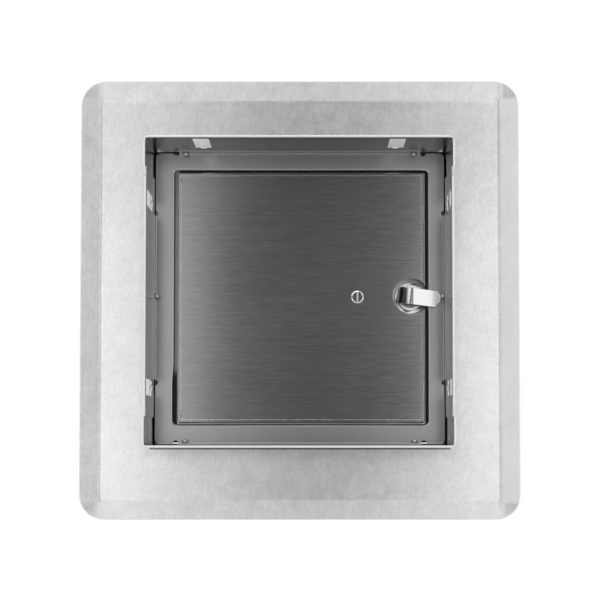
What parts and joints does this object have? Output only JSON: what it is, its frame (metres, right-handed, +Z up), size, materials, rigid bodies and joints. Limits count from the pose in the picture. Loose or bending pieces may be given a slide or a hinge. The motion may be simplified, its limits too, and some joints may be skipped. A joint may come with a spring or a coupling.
{
  "type": "fireplace clean-out door",
  "caption": "Galvanised chimney clean-out door with bevelled flange, wall collar, hinged double-skin door and hooked quarter-turn latch.",
  "frame": {"origin": "middle of the plane in which the flange's rim meets the wall", "axes": "+X right and +Z up as seen from the wall side, +Y out of the wall into the room"},
  "size_m": [0.3048, 0.0748, 0.3048],
  "materials": {
    "galvanised_sheet": "galvanised",
    "frame_sheet": "dull grey",
    "door_steel": "brushed",
    "bright_zinc": "bright zinc",
    "sealing_tape": "woven",
    "insulation_board": "matte",
    "knob_black": "satin"
  },
  "bodies": {
    "frame": {"flange_plate": "galvanised_sheet", "collar_top": "galvanised_sheet", "collar_bottom": "galvanised_sheet", "collar_left": "galvanised_sheet", "collar_right": "galvanised_sheet", "inner_frame": "frame_sheet", "frame_rivets": "bright_zinc", "door_gasket": "sealing_tape", "hinge_frame_leaf": "bright_zinc", "hinge_pin": "bright_zinc"},
    "door": {"door_front_tray": "galvanised_sheet", "door_rear_pan": "door_steel", "door_insulation": "insulation_board", "hinge_door_leaf": "bright_zinc", "latch_housing": "bright_zinc", "latch_washer": "bright_zinc", "latch_nut": "bright_zinc", "pull_knob": "knob_black", "pull_screw": "bright_zinc"},
    "latch": {"latch_spindle": "bright_zinc", "latch_knob": "knob_black", "latch_knob_pin": "bright_zinc", "latch_tongue": "bright_zinc"}
  },
  "joints": [
    {"name": "door_hinge", "type": "hinge", "parent": "frame", "child": "door", "pos_m": [-0.1012, 0.006, 0], "axis": [0, 0, 1], "range_deg": [0, 170]},
    {"name": "latch_turn", "type": "hinge", "parent": "door", "child": "latch", "pos_m": [0.0765, 0, 0.0008], "axis": [0, 1, 0], "range_deg": [0, 90]}
  ]
}
